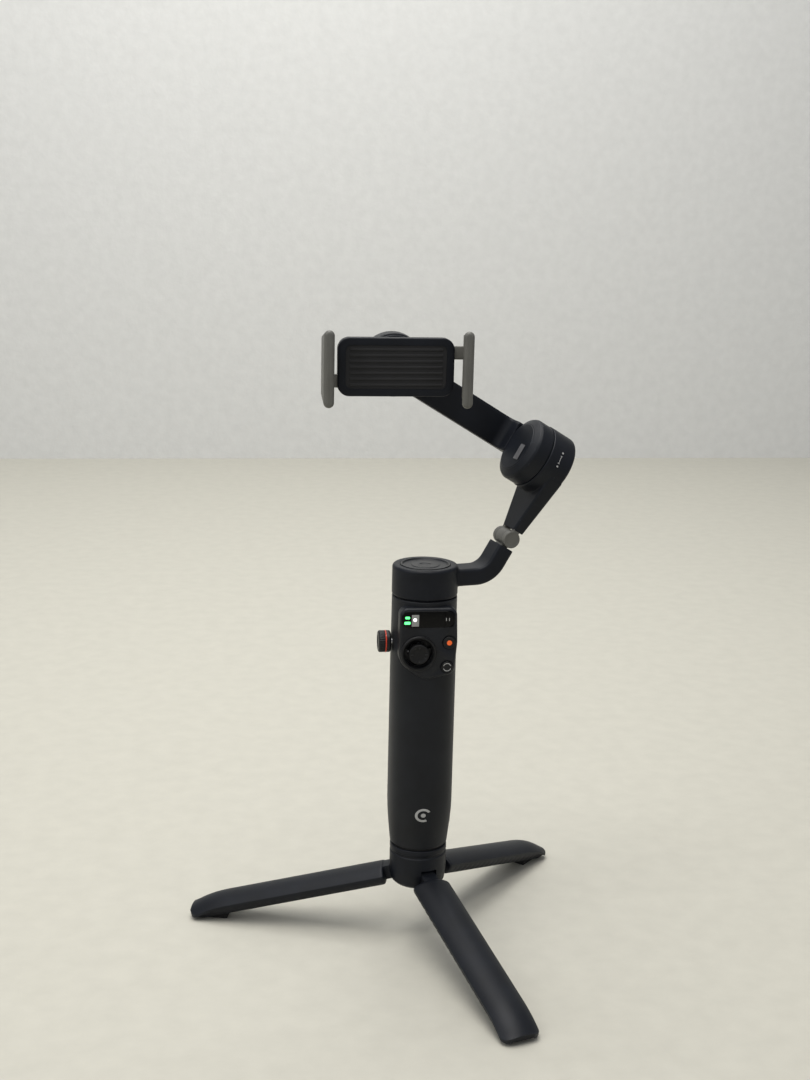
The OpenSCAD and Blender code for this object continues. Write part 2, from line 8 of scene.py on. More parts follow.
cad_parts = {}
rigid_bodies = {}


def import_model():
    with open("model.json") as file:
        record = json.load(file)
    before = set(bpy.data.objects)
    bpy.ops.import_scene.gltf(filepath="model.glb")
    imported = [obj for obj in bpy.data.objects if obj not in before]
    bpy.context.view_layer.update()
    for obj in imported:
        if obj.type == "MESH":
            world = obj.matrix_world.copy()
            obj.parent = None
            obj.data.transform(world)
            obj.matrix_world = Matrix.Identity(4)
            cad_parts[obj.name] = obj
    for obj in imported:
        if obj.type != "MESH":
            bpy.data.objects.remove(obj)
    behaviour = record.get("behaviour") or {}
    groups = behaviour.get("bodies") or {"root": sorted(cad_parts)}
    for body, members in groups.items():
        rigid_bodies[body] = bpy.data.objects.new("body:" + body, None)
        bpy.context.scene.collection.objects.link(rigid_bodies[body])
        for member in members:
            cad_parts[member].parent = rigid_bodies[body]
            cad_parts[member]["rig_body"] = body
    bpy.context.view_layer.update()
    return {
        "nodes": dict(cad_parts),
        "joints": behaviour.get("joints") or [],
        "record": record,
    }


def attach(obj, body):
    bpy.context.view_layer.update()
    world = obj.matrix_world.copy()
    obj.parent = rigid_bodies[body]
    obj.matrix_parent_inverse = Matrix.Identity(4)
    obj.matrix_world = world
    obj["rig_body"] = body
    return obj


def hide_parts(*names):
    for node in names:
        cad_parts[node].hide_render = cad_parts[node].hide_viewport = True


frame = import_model()

MM = 0.001
JOINTS = {j["name"]: j for j in frame["joints"]}

# Sizes in millimetres, as in the CAD model.
HANDLE_Z0, HANDLE_Z1 = 54.0, 192.8
GRIP_WALL, GRIP_FLARE, GRIP_SHOULDER = 1.9, 26.0, 150.0
GRIP_END_R, GRIP_HALF_W, GRIP_HALF_D = 15.6, 17.3, 18.2
HANDLE_TOP_R, HANDLE_TOP_Z = 15.5, 190.0
TUBE_R = 8.8
PANEL_BACK, PANEL_FACE = 11.8, 19.0
WINDOW_X0, WINDOW_X1, WINDOW_Z, WINDOW_H = -14.6, 13.4, 184.5, 9.0
WINDOW_FLOOR, WINDOW_FACE = 18.4, 19.55
MODE_X = 8.0
STICK = Vector((-5.2, -14.2, 166.0))
RECORD_AT, RECORD_R = (10.8, 171.7), 3.35
SWITCH_AT, SWITCH_R = (9.9, 158.5), 3.05
WHEEL_Y, WHEEL_Z = -2.0, 168.0
PAN_R, PAN_Z0, PAN_TOP = 17.4, 193.4, 209.5
PAN_BORE_R, PAN_BORE_TOP, CAP_DEPTH = 15.0, 206.0, 1.5
ARM_SLOPE = math.radians(59.0)
ARM_D, ARM_T = 14.6, 9.3
ARM_OUTER = -14.5
ELBOW_R, ELBOW_Z = 13.6, 202.15
KNUCKLE_R, KNUCKLE_GAP = 4.6, 5.1
TILT_R, TILT_BORE_R, TILT_WALL, TILT_RIM = 18.0, 15.7, 2.2, 0.6
BAR_X, BAR_Y, BAR_W, BAR_T, BAR_END = 3.7, 24.0, 17.8, 8.0, 83.0
ROTOR_Z0, ROTOR_Z1 = 0.9, 12.2
ROLL_R, ROLL_Y0, ROLL_Y1 = 16.5, 11.4, 25.6
PHONE_W, JAW_H, JAW_WALL, JAW_LIP, JAW_FRONT = 70.5, 39.0, 2.8, 2.6, -11.6
LEG_LEN, LEG_W, LEG_ROOT, LEG_TOP, LEG_BOTTOM = 120.0, 21.0, 7.0, 4.5, -5.5
LEG_TIP_R, LEG_CROWN_R, LEG_ROOT_EDGE = 5.0, 16.0, 1.6
LEG_DROOP = math.radians(15.3)
LEGS = {"leg_front_fold": ("leg_a", "front"), "leg_right_fold": ("leg_b", "right"),
        "leg_left_fold": ("leg_c", "left")}
HUB_R, HUB_Z0, HUB_Z1 = 15.5, 30.0, 52.8
SLOT_W, SLOT_TOP = 9.0, 41.2
CLAMP_W, CLAMP_H = 60.0, 30.0

# How the moulded parts are merged: the size of the grain and how much of the mesh stays.
MOULD_VOXEL, MOULD_SMOOTHING, MOULD_KEEP = 0.32, 5, 0.45


# ---------- places ----------
def at_joint(name):
    return Vector(JOINTS[name]["pos_m"]) / MM


def axes(origin, x, y, z):
    """A frame in millimetres from its origin and its three directions."""
    m = Matrix((x, y, z)).transposed().to_4x4()
    m.translation = origin
    return m


UP = Vector((0, 0, 1))
ARM_BACK = Vector(JOINTS["arm_fold"]["axis"])
ARM_OUT = ARM_BACK.cross(UP)
TILT_AXIS = Vector(JOINTS["tilt"]["axis"])
ALONG_ARM = ARM_BACK.cross(TILT_AXIS)
ARM = axes(Vector((0, 0, 0)), ARM_OUT, ARM_BACK, UP)
TILT = axes(at_joint("tilt"), ALONG_ARM, ARM_BACK, TILT_AXIS)
FOLD = axes(at_joint("arm_fold"), ALONG_ARM, ARM_BACK, TILT_AXIS)
ROLL = Matrix.Translation(Vector((at_joint("roll").x, 0, at_joint("roll").z)))
FOLD_IN_TILT = TILT.inverted() @ at_joint("arm_fold")


def leg_frame(joint_name):
    j = JOINTS[joint_name]
    side = Vector(j["axis"])
    out = side.cross(UP)
    along = out * math.cos(LEG_DROOP) - UP * math.sin(LEG_DROOP)
    return axes(at_joint(joint_name), along, side, along.cross(side))


def facing(direction):
    """Turns a lathe's +Z, or a prism's, to a world direction; its local Y stays as upright as it can."""
    z = Vector(direction).normalized()
    x = Vector((0, 0, 1)).cross(z) if abs(z.z) < 0.9 else Vector((1, 0, 0))
    x.normalize()
    return axes(Vector((0, 0, 0)), x, z.cross(x), z)


FRONT = facing((0, -1, 0))      # local X is world +X, local Y is world +Z, local Z is world -Y
BACK = facing((0, 1, 0))
LEFT = facing((-1, 0, 0))
# For outlines drawn from the side: local X is world +Y, local Y is world +Z, local Z is world +X.
SIDEWAYS = axes(Vector((0, 0, 0)), Vector((0, 1, 0)), UP, Vector((1, 0, 0)))
# For hinge knuckles: local Z, along which they are turned, is the hinge's own Y.
ACROSS = axes(Vector((0, 0, 0)), Vector((1, 0, 0)), Vector((0, 0, -1)), Vector((0, 1, 0)))


# ---------- outlines ----------
def rounded(points, radius, steps=5, closed=True):
    """Turns each corner of an outline into an arc. A point's third number is a radius of its own."""
    out = []
    count = len(points)
    for i, p in enumerate(points):
        here = Vector(p[:2])
        if not closed and i in (0, count - 1):
            out.append(here)
            continue
        before = Vector(points[i - 1][:2]) - here
        after = Vector(points[(i + 1) % count][:2]) - here
        r = p[2] if len(p) > 2 else radius
        turn = before.angle(after)
        if r <= 0 or abs(math.pi - turn) < 0.02:
            out.append(here)
            continue
        reach = min(r / math.tan(turn / 2), before.length * 0.49, after.length * 0.49)
        r = reach * math.tan(turn / 2)
        middle = (before.normalized() + after.normalized()).normalized()
        centre = here + middle * (r / math.sin(turn / 2))
        spoke = here + before.normalized() * reach - centre
        sweep = spoke.angle_signed(here + after.normalized() * reach - centre)
        for k in range(steps + 1):
            a = -sweep * k / steps
            c, s = math.cos(a), math.sin(a)
            out.append(centre + Vector((spoke.x * c - spoke.y * s, spoke.x * s + spoke.y * c)))
    return out


def box_outline(x0, x1, y0, y1, radius, steps=6):
    return rounded([(x0, y0), (x1, y0), (x1, y1), (x0, y1)], radius, steps)


def circle_outline(x, y, r, count=48):
    turns = [2 * math.pi * i / count for i in range(count)]
    return [Vector((x + r * math.cos(a), y + r * math.sin(a))) for a in turns]


def hull_outline(points):
    """Convex outline round the points, counter-clockwise."""
    pts = sorted(set((round(p[0], 4), round(p[1], 4)) for p in points))

    def half(row):
        chain = []
        for p in row:
            while len(chain) > 1 and ((chain[-1][0] - chain[-2][0]) * (p[1] - chain[-2][1])
                                      - (chain[-1][1] - chain[-2][1]) * (p[0] - chain[-2][0])) <= 0:
                chain.pop()
            chain.append(p)
        return chain[:-1]

    return [Vector(p) for p in half(pts) + half(pts[::-1])]


def inset(outline, amount):
    """The outline moved inwards along its corners' bisectors."""
    out = []
    count = len(outline)
    for i, p in enumerate(outline):
        a = (p - outline[i - 1]).normalized()
        b = (outline[(i + 1) % count] - p).normalized()
        t = (a + b).normalized()
        n = Vector((-t.y, t.x))
        out.append(p + n * amount / max(0.5, math.sqrt((1 + a.dot(b)) / 2)))
    return out


# ---------- solids: lists of vertices and faces ----------
def skin(rings, closed_ends=True, looped=False):
    """Joins rings of equal count into a tube with closed ends, or into a loop."""
    count = len(rings[0])
    verts = [tuple(v) for ring in rings for v in ring]
    faces = []
    for i in range(len(rings) if looped else len(rings) - 1):
        a, b = i * count, ((i + 1) % len(rings)) * count
        faces += [(a + k, a + (k + 1) % count, b + (k + 1) % count, b + k) for k in range(count)]
    if closed_ends and not looped:
        last = (len(rings) - 1) * count
        faces.append(tuple(range(count))[::-1])
        faces.append(tuple(range(last, last + count)))
    return verts, faces


def lathe(profile, segments=96, shape=None):
    """Turns a (radius, height) profile round Z. shape(radius, height, angle) may change the radius."""
    closed = profile[0][0] > 1e-6
    rings = []
    for r, h in ((p[0], p[1]) for p in profile):
        ring = []
        for k in range(segments):
            a = 2 * math.pi * k / segments
            rr = shape(r, h, a) if shape else r
            ring.append((rr * math.cos(a), rr * math.sin(a), h))
        rings.append(ring)
    if closed:
        return skin(rings, looped=True)
    inner = rings[1:-1]
    verts, faces = skin(inner, closed_ends=False)
    first, last = len(verts), len(verts) + 1
    verts += [(0, 0, profile[0][1]), (0, 0, profile[-1][1])]
    end = (len(inner) - 1) * segments
    faces += [(first, (k + 1) % segments, k) for k in range(segments)]
    faces += [(last, end + k, end + (k + 1) % segments) for k in range(segments)]
    return verts, faces


def turned(points, radius=0.4, segments=96, shape=None, steps=5):
    """A lathe part whose corners are rounded."""
    ring = points[0][0] > 1e-6
    return lathe(rounded(points, radius, steps, closed=ring), segments, shape)


def plug(r, z0, z1, segments=96):
    """A plain cylinder, for cutting a bore."""
    return turned([(0, z0), (r, z0), (r, z1), (0, z1)], 0, segments)


def prism(outline, z0, z1, edge0=0.0, edge1=0.0, steps=4):
    """An outline raised from z0 to z1, its two rims rounded by edge0 and edge1."""
    rings = []
    if edge0:
        for k in range(steps + 1):
            a = math.pi / 2 * k / steps
            rim = inset(outline, edge0 * (1 - math.sin(a)))
            rings.append([(p.x, p.y, z0 + edge0 * (1 - math.cos(a))) for p in rim])
    else:
        rings.append([(p.x, p.y, z0) for p in outline])
    if edge1:
        for k in range(steps + 1):
            a = math.pi / 2 * k / steps
            rim = inset(outline, edge1 * (1 - math.cos(a)))
            rings.append([(p.x, p.y, z1 - edge1 * (1 - math.sin(a))) for p in rim])
    else:
        rings.append([(p.x, p.y, z1) for p in outline])
    return skin(rings)


def block(x, y, z, edge=0.0):
    return prism(box_outline(x[0], x[1], y[0], y[1], max(edge, 0.01), 3), z[0], z[1], edge, edge)


def placed(solid, matrix):
    verts, faces = solid
    return [tuple(matrix @ Vector(v)) for v in verts], faces


def joined(*solids):
    verts, faces = [], []
    for v, f in solids:
        base = len(verts)
        verts += v
        faces += [tuple(i + base for i in face) for face in f]
    return verts, faces


# ---------- Blender objects ----------
def to_object(name, solid):
    verts, faces = solid
    mesh = bpy.data.meshes.new(name)
    mesh.from_pydata([tuple(c * MM for c in v) for v in verts], [], faces)
    bm = bmesh.new()
    bm.from_mesh(mesh)
    bmesh.ops.recalc_face_normals(bm, faces=bm.faces)
    bm.to_mesh(mesh)
    bm.free()
    obj = bpy.data.objects.new(name, mesh)
    bpy.context.scene.collection.objects.link(obj)
    return obj


def bake_modifiers(obj):
    """Replaces the object's mesh with the result of its modifiers."""
    evaluated = obj.evaluated_get(bpy.context.evaluated_depsgraph_get())
    mesh = bpy.data.meshes.new_from_object(evaluated)
    mesh.name = obj.name
    obj.modifiers.clear()
    obj.data = mesh


def cut_away(obj, solids):
    for solid in solids:
        tool = to_object("tool", solid)
        mod = obj.modifiers.new("cut", "BOOLEAN")
        mod.operation = "DIFFERENCE"
        mod.solver = "MANIFOLD"
        mod.object = tool
        bake_modifiers(obj)
        bpy.data.objects.remove(tool)


def moulded(obj, voxel=MOULD_VOXEL):
    """Merges crossing solids into one skin with soft fillets, as a moulding has."""
    mod = obj.modifiers.new("merge", "REMESH")
    mod.mode = "VOXEL"
    mod.voxel_size = voxel * MM
    mod = obj.modifiers.new("soften", "SMOOTH")
    mod.factor = 0.5
    mod.iterations = MOULD_SMOOTHING
    mod = obj.modifiers.new("thin", "DECIMATE")
    mod.ratio = MOULD_KEEP
    bake_modifiers(obj)


def finish_piece(obj, body, material, replaces=(), sharp=35):
    """Gives the piece its material, its crisp edges above an angle, and its place in the frame."""
    obj.data.materials.clear()
    obj.data.materials.append(material)
    obj.data.shade_smooth()
    obj.data.set_sharp_from_angle(angle=math.radians(sharp))
    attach(obj, body)
    if replaces:
        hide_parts(*replaces)
    return obj


def piece(name, solid, body, material, replaces=(), sharp=35, cuts=()):
    obj = to_object(name, solid)
    cut_away(obj, cuts)
    return finish_piece(obj, body, material, replaces, sharp)


def softened(node, width, material, segments=3):
    """A copy of a CAD piece with its edges rounded."""
    source = frame["nodes"][node]
    body = source["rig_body"]
    obj = bpy.data.objects.new(node + "_soft", source.data.copy())
    bpy.context.scene.collection.objects.link(obj)
    bm = bmesh.new()
    bm.from_mesh(obj.data)
    bmesh.ops.remove_doubles(bm, verts=bm.verts, dist=2e-6)
    bmesh.ops.dissolve_limit(bm, angle_limit=math.radians(1.0), verts=bm.verts, edges=bm.edges)
    bm.to_mesh(obj.data)
    bm.free()
    mod = obj.modifiers.new("edges", "BEVEL")
    mod.width = width * MM
    mod.segments = segments
    mod.limit_method = "ANGLE"
    mod.angle_limit = math.radians(32)
    mod.use_clamp_overlap = True
    bake_modifiers(obj)
    return finish_piece(obj, body, material, (node,))


# ---------- materials ----------
def surface(name, colour, rough, metallic=0.0, grain=0.15, depth=0.02, vary=0.25, wear=0.0, coat=0.0,
            sheen=0.0, specular=0.32, streaks=None):
    """A surface with fine grain, slow changes of tone and gloss, and paler worn edges."""
    mat = bpy.data.materials.new(name)
    mat.use_nodes = True
    tree = mat.node_tree
    shader = tree.nodes["Principled BSDF"]
    shader.inputs["Metallic"].default_value = metallic
    shader.inputs["Specular IOR Level"].default_value = specular
    shader.inputs["Coat Weight"].default_value = coat
    shader.inputs["Coat Roughness"].default_value = 0.05
    shader.inputs["Sheen Weight"].default_value = sheen
    shader.inputs["Sheen Roughness"].default_value = 0.5

    def add(kind, **values):
        node = tree.nodes.new(kind)
        for key, value in values.items():
            setattr(node, key, value)
        return node

    def link(a, b):
        tree.links.new(a, b)

    place = add("ShaderNodeTexCoord")
    stretch = add("ShaderNodeMapping")
    stretch.inputs["Scale"].default_value = streaks or (1, 1, 1)
    link(place.outputs["Object"], stretch.inputs["Vector"])

    def noise(size, detail):
        node = add("ShaderNodeTexNoise")
        node.inputs["Scale"].default_value = 1 / (size * MM)
        node.inputs["Detail"].default_value = detail
        link(stretch.outputs["Vector"], node.inputs["Vector"])
        return node.outputs["Fac"]

    def remap(value, low, high, out_low, out_high):
        node = add("ShaderNodeMapRange")
        node.inputs["From Min"].default_value = low
        node.inputs["From Max"].default_value = high
        node.inputs["To Min"].default_value = out_low
        node.inputs["To Max"].default_value = out_high
        link(value, node.inputs["Value"])
        return node.outputs["Result"]

    slow = noise(14, 3)
    fine = noise(grain, 2)
    ramp = add("ShaderNodeValToRGB")
    ramp.color_ramp.elements[0].position = 0.3
    ramp.color_ramp.elements[1].position = 0.7
    ramp.color_ramp.elements[0].color = [c * (1 - vary) for c in colour] + [1]
    ramp.color_ramp.elements[1].color = [min(1, c * (1 + vary)) for c in colour] + [1]
    link(slow, ramp.inputs["Fac"])
    base = ramp.outputs["Color"]
    if wear:
        geometry = add("ShaderNodeNewGeometry")
        edge = remap(geometry.outputs["Pointiness"], 0.53, 0.62, 0, wear)
        mix = add("ShaderNodeMix", data_type="RGBA")
        mix.inputs["B"].default_value = [min(1, c * 3 + 0.03) for c in colour] + [1]
        link(edge, mix.inputs["Factor"])
        link(base, mix.inputs["A"])
        base = mix.outputs["Result"]
    link(base, shader.inputs["Base Color"])
    link(remap(fine, 0.25, 0.75, max(0.02, rough - 0.06), min(1, rough + 0.06)), shader.inputs["Roughness"])
    if depth:
        bump = add("ShaderNodeBump")
        bump.inputs["Strength"].default_value = 0.5
        bump.inputs["Distance"].default_value = depth * MM
        link(fine, bump.inputs["Height"])
        link(bump.outputs["Normal"], shader.inputs["Normal"])
    return mat


def glowing(name, colour, strength):
    mat = surface(name, colour, 0.3, grain=0.4, depth=0, vary=0.08)
    shader = mat.node_tree.nodes["Principled BSDF"]
    shader.inputs["Emission Color"].default_value = list(colour) + [1]
    shader.inputs["Emission Strength"].default_value = strength
    return mat


BODY = surface("body_black", (0.0046, 0.0060, 0.0094), 0.48, grain=0.22, wear=0.3, specular=0.24)
GRIP = surface("grip_black", (0.0054, 0.0066, 0.0090), 0.54, grain=0.16, depth=0.018, wear=0.2,
               sheen=0.04, specular=0.27)
PANEL = surface("panel_black", (0.0048, 0.0060, 0.0090), 0.44, grain=0.2, depth=0.015, wear=0.3)
GLOSS = surface("window_gloss", (0.0008, 0.0008, 0.0010), 0.16, grain=2.0, depth=0, vary=0.1, specular=0.18)
KEY = surface("key_black", (0.0040, 0.0043, 0.0050), 0.42, grain=0.2, depth=0.012, wear=0.3)
STICK_RUBBER = surface("stick_rubber", (0.0042, 0.0044, 0.0048), 0.58, grain=0.25, depth=0.03, wear=0.4)
FOOT_RUBBER = surface("foot_rubber", (0.0070, 0.0070, 0.0075), 0.75, grain=0.4, depth=0.05, wear=0.3)
CAP = surface("cap_black", (0.0095, 0.0105, 0.0125), 0.42, grain=0.2, depth=0.012, wear=0.4)
GREY = surface("grey_plastic", (0.118, 0.116, 0.104), 0.44, grain=0.2, depth=0.015, vary=0.08, wear=0.25)
RED = surface("accent_red", (0.56, 0.050, 0.022), 0.30, grain=0.3, depth=0.004, vary=0.12, coat=0.3)
STEEL = surface("steel", (0.52, 0.52, 0.53), 0.28, 1.0, grain=0.3, depth=0.004, vary=0.1, streaks=(1, 1, 6))
ALLOY = surface("tube_alloy", (0.60, 0.61, 0.63), 0.34, 1.0, grain=0.25, depth=0.005, vary=0.08,
                streaks=(6, 6, 1))
BRASS = surface("brass", (0.62, 0.44, 0.16), 0.32, 1.0, grain=0.3, depth=0.006, vary=0.12)
COPPER = surface("copper_winding", (0.45, 0.17, 0.06), 0.38, 1.0, grain=0.35, depth=0.06, vary=0.3)
MAGNET = surface("magnet", (0.34, 0.34, 0.36), 0.24, 1.0, grain=0.4, depth=0.004, vary=0.12)
BOARD = surface("board_green", (0.018, 0.095, 0.038), 0.42, grain=0.8, depth=0.03, vary=0.3, coat=0.2)
CELL = surface("cell_blue", (0.03, 0.10, 0.25), 0.35, grain=1.2, depth=0.03, vary=0.15, coat=0.2)
ACETAL = surface("white_plastic", (0.60, 0.60, 0.56), 0.40, grain=0.3, depth=0.01, vary=0.05)
PRINT = surface("print_grey", (0.42, 0.42, 0.41), 0.55, grain=0.3, depth=0.004, vary=0.12)
LABEL = surface("label_grey", (0.10, 0.10, 0.105), 0.50, grain=0.5, depth=0.006, vary=0.4)
GREEN_LIGHT = glowing("led_green", (0.10, 0.90, 0.22), 2.2)
GREY_LIGHT = glowing("led_grey", (0.20, 0.20, 0.19), 0.35)
WHITE_LIGHT = glowing("led_white", (0.95, 0.95, 0.92), 1.6)
ORANGE_DOT = glowing("dot_orange", (0.80, 0.13, 0.025), 0.25)


# ---------- tripod ----------
def make_hub():
    groove = HUB_Z1 - 5.0
    profile = [(0, HUB_Z0), (12.6, HUB_Z0, 1.2), (14.8, HUB_Z0 + 2, 2.5), (HUB_R, HUB_Z0 + 8, 3),
               (HUB_R, groove, 0.3), (HUB_R - 0.55, groove + 0.5, 0.2), (HUB_R - 0.55, groove + 1.7, 0.2),
               (HUB_R, groove + 2.2, 0.3), (HUB_R, HUB_Z1, 0.8), (0, HUB_Z1)]
    slot = block((6.4, 20), (-SLOT_W / 2, SLOT_W / 2), (HUB_Z0 - 1, SLOT_TOP), 0.4)
    slots = []
    for name in LEGS:
        side = Vector(JOINTS[name]["axis"])
        slots.append(placed(slot, axes(Vector((0, 0, 0)), side.cross(UP), side, UP)))
    piece("hub_shell", turned(profile, 0.5, 128), "tripod", BODY, ("hub_body",), cuts=slots)


def leg_station(x):
    """One cross-section of a leg: a crowned top, flat sides drawn in below, and a flat underside."""
    from_tip = LEG_LEN - x
    half = LEG_W / 2
    if from_tip < LEG_TIP_R:
        half -= LEG_TIP_R - math.sqrt(max(0.0, LEG_TIP_R ** 2 - (LEG_TIP_R - from_tip) ** 2))
    root = min(1.0, (x - LEG_ROOT) / LEG_ROOT_EDGE)
    corner = 1 - math.sqrt(1 - (1 - root) ** 2)
    half -= 0.9 * corner
    top = LEG_TOP - 1.2 * corner
    bottom = LEG_BOTTOM + 0.9 * corner
    thin = max(0.0, 1 - from_tip / 22.0)
    top -= 3.6 * thin ** 2.2
    bottom += 3.2 * max(0.0, 1 - from_tip / 9.0) ** 2
    ribs = 0.28 * max(0.0, math.sin(x * 2 * math.pi / 5.2)) if 12 < x < LEG_LEN - 14 else 0.0
    scale = half / 10
    tops = [half * math.sin(math.pi / 2 * k / 8) for k in range(8, -9, -1)]
    crown = [(y, top + (math.sqrt(LEG_CROWN_R ** 2 - y * y) - LEG_CROWN_R) * scale) for y in tops]
    left = [(-half, top - 4.0 * scale - 1.2), (-half + 0.5 * scale, -2.4 + 0.4 * thin + ribs),
            (-7.6 * scale, bottom + 0.35 + ribs), (-6.9 * scale, bottom)]
    right = [(-y, z) for y, z in left[::-1]]
    return [(x, y, z) for y, z in crown + left + right]


def make_leg(name):
    body, which = LEGS[name]
    place = leg_frame(name)
    tip = [LEG_LEN - LEG_TIP_R + LEG_TIP_R * math.sin(math.pi / 2 * k / 10) for k in range(11)]
    tip[-1] -= 0.05
    xs = [LEG_ROOT + LEG_ROOT_EDGE * (1 - math.cos(math.pi / 2 * k / 4)) for k in range(5)]
    xs += [9.5 + 0.65 * k for k in range(170)]
    xs = [x for x in xs if x < tip[0] - 0.2] + tip
    shell = skin([leg_station(x) for x in xs])
    pitch, first = 16, 16
    pockets = [block((first + pitch * k, first + pitch * k + 14), (-5.4, 5.4), (LEG_BOTTOM - 2, 1.6), 0.6)
               for k in range(5)]
    obj = piece("leg_" + which + "_shell", placed(shell, place), body, BODY,
                cuts=[placed(p, place) for p in pockets])
    half = 4.2
    barrel = [(1.56, -half), (4.3, -half, 0.5), (4.3, half, 0.5), (1.56, half)]
    web = block((3.0, LEG_ROOT + 3), (-half, half), (-4.2, 3.8), 0.5)
    knuckle_solid = joined(placed(turned(barrel, 0.1, 48), ACROSS), web)
    piece("leg_" + which + "_knuckle", placed(knuckle_solid, place), body, BODY)
    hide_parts("leg_" + which)
    softened("foot_" + which, 0.5, FOOT_RUBBER)


# ---------- handle ----------
def smooth_step(t):
    t = min(1.0, max(0.0, t))
    return t * t * (3 - 2 * t)


def blend(a, b, t):
    return a + (b - a) * t


def grip_ring(z, shrink=0.0, count=128):
    """The handle's section at a height: round at its ends and squarer in the hand."""
    rise = min(1, (z - HANDLE_Z0) / GRIP_FLARE)
    low = smooth_step(rise)
    high = smooth_step((z - GRIP_SHOULDER) / (HANDLE_Z1 - GRIP_SHOULDER))
    half_w = blend(GRIP_END_R, GRIP_HALF_W, math.sin(math.pi / 2 * rise))
    half_d = blend(GRIP_END_R, GRIP_HALF_D, low)
    half_d = blend(half_d, 17.4, high)
    half_w = blend(half_w, 17.25, high)
    power = blend(blend(2.0, 2.45, low), 2.06, high)
    ring = []
    for k in range(count):
        a = 2 * math.pi * k / count
        c, s = math.cos(a), math.sin(a)
        x = math.copysign(abs(c) ** (2 / power), c) * (half_w - shrink)
        y = math.copysign(abs(s) ** (2 / power), s) * (half_d - shrink)
        ring.append((x, y, z))
    return ring


def round_ring(r, z, count=128):
    turns = [2 * math.pi * k / count for k in range(count)]
    return [(r * math.cos(a), r * math.sin(a), z) for a in turns]


def make_grip():
    edge, rim, pitch = 0.7, 0.5, 2
    quarter = [math.pi / 2 * k / 4 for k in range(5)]
    foot = HANDLE_Z0 + edge
    rings = [round_ring(13.4, HANDLE_Z0 + 0.05)]
    for a in quarter:
        z = HANDLE_Z0 + edge * (1 - math.cos(a))
        rings.append([(x, y, z) for x, y, _ in grip_ring(foot, edge * (1 - math.sin(a)))])
    heights = [foot + pitch * k for k in range(1, 70)]
    rings += [grip_ring(z) for z in heights if z < HANDLE_Z1 - 1]
    for a in quarter:
        z = HANDLE_Z1 - rim * (1 - math.sin(a))
        rings.append([(x, y, z) for x, y, _ in grip_ring(HANDLE_Z1, rim * (1 - math.cos(a)))])
    rings += [round_ring(HANDLE_TOP_R + 0.2, HANDLE_Z1), round_ring(HANDLE_TOP_R, HANDLE_Z1 - 0.2),
              round_ring(HANDLE_TOP_R, HANDLE_TOP_Z), round_ring(TUBE_R, HANDLE_TOP_Z),
              round_ring(TUBE_R, HANDLE_TOP_Z - 3)]
    rings += [grip_ring(z, GRIP_WALL) for z in (HANDLE_TOP_Z - 3, 120.0, 60.0)]
    rings.append(round_ring(13.4, 58.0))
    power_key = prism(box_outline(-0.5, 4.5, 155, 165, 2.4), 10, 30)
    port = prism(box_outline(-1.58, 1.58, 63.53, 72.47, 1.5), 10, 30)
    cuts = [
        placed(block((-6.4, 6.4), (153.4, 180.6), (11, 30)), BACK),
        placed(power_key, SIDEWAYS),
        placed(port, SIDEWAYS),
        placed(plug(1.7, 10, 20, 32), Matrix.Translation((0, WHEEL_Y, WHEEL_Z)) @ LEFT),
        placed(plug(7.3, 10, 30), key_place((STICK.x, STICK.z))),
        placed(plug(RECORD_R + 0.6, 10, 30, 64), key_place(RECORD_AT)),
    ]
    piece("grip_skin", skin(rings, looped=True), "handle", GRIP, ("grip_shell",), sharp=40,
          cuts=cuts)


def on_grip(x, z, lift):
    """The point of the grip's front at this X and Z, lifted off it by a little."""
    ring = grip_ring(z)
    near = min(ring[len(ring) // 2:], key=lambda p: abs(p[0] - x))
    after = ring[min(len(ring) - 1, ring.index(near) + (1 if x > near[0] else -1))]
    span = after[0] - near[0]
    y = near[1] + (after[1] - near[1]) * ((x - near[0]) / span if abs(span) > 1e-6 else 0)
    return x, y - lift, z


def make_grip_mark():
    """A plain printed emblem: an open ring with a dot in it."""
    solids = []
    for start, sweep, inner, outer in ((0.6, 4.6, 2.7, 3.9), (0, 2 * math.pi, 0.0, 1.15)):
        count = 48
        turns = [start + sweep * k / (count - 1) for k in range(count)]
        rims = [[(r * math.cos(a), r * math.sin(a)) for a in turns] for r in (max(inner, 0.02), outer)]
        rings = [[on_grip(x * 1.15 - 0.3, z + 75.0, lift) for x, z in rim] for rim, lift in
                 ((rims[0], 0.05), (rims[1], 0.05), (rims[1], -0.1), (rims[0], -0.1))]
        strip = [[rings[i][k] for i in range(4)] for k in range(count)]
        solids.append(skin(strip))
    piece("grip_mark", joined(*solids), "handle", PRINT)


def panel_outline():
    corner_z = WINDOW_Z + 1.6
    discs = ((-11.0, corner_z, 4.3), (10.5, corner_z, 4.3), (RECORD_AT[0] - 0.5, RECORD_AT[1], 5.0),
             (SWITCH_AT[0] - 0.6, SWITCH_AT[1], 4.9), (STICK.x, STICK.z, 10.3), (0, 160, 8.6))
    points = []
    for x, z, r in discs:
        points += circle_outline(x, z, r, 64)
    return hull_outline(points)


def window_outline(shrink=0.0):
    return box_outline(WINDOW_X0 + shrink, WINDOW_X1 - shrink, WINDOW_Z - WINDOW_H / 2 + shrink,
                       WINDOW_Z + WINDOW_H / 2 - shrink, 4 - shrink, 8)


def key_place(at):
    return Matrix.Translation((at[0], 0, at[1])) @ FRONT


